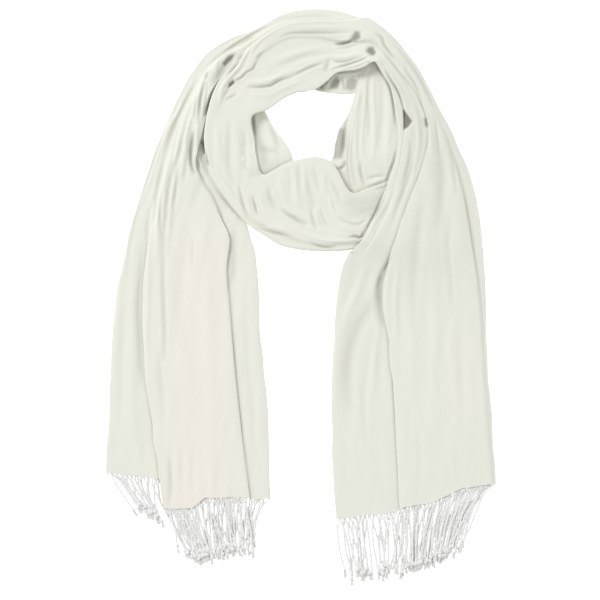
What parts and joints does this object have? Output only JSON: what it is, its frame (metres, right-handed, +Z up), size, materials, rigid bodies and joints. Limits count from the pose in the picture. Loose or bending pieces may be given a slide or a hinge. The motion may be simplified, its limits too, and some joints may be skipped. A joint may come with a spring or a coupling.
{
  "type": "pashmina shawl",
  "caption": "Soft pale woven shawl, folded lengthwise, wound round an open neck loop and laid flat, its ends side by side below it with a knotted fringe.",
  "frame": {"origin": "centre of the bounding box in plan, on the surface that the shawl lies on", "axes": "+Z up from the surface, +Y from the fringed ends towards the neck opening, +X to the right as seen from above"},
  "size_m": [0.4317, 0.6282, 0.028],
  "materials": {
    "cloth": "matte fine twill in an ivory white with a faint sheen",
    "fringe": "twisted yarn of the same ivory white, knotted near its ends"
  },
  "bodies": {
    "root": {"tail_left": "cloth", "neck_under": "cloth", "loop_drop": "cloth", "loop_inner": "cloth", "loop_front": "cloth", "neck_over": "cloth", "tail_right": "cloth", "fringe_left_outer_1": "fringe", "fringe_left_outer_2": "fringe", "fringe_left_main_1": "fringe", "fringe_left_main_2": "fringe", "fringe_left_main_3": "fringe", "fringe_left_main_4": "fringe", "fringe_left_inner_1": "fringe", "fringe_left_inner_2": "fringe", "fringe_right_main_1": "fringe", "fringe_right_main_2": "fringe", "fringe_right_main_3": "fringe", "fringe_right_main_4": "fringe", "fringe_right_inner_1": "fringe", "fringe_right_inner_2": "fringe"}
  },
  "joints": []
}
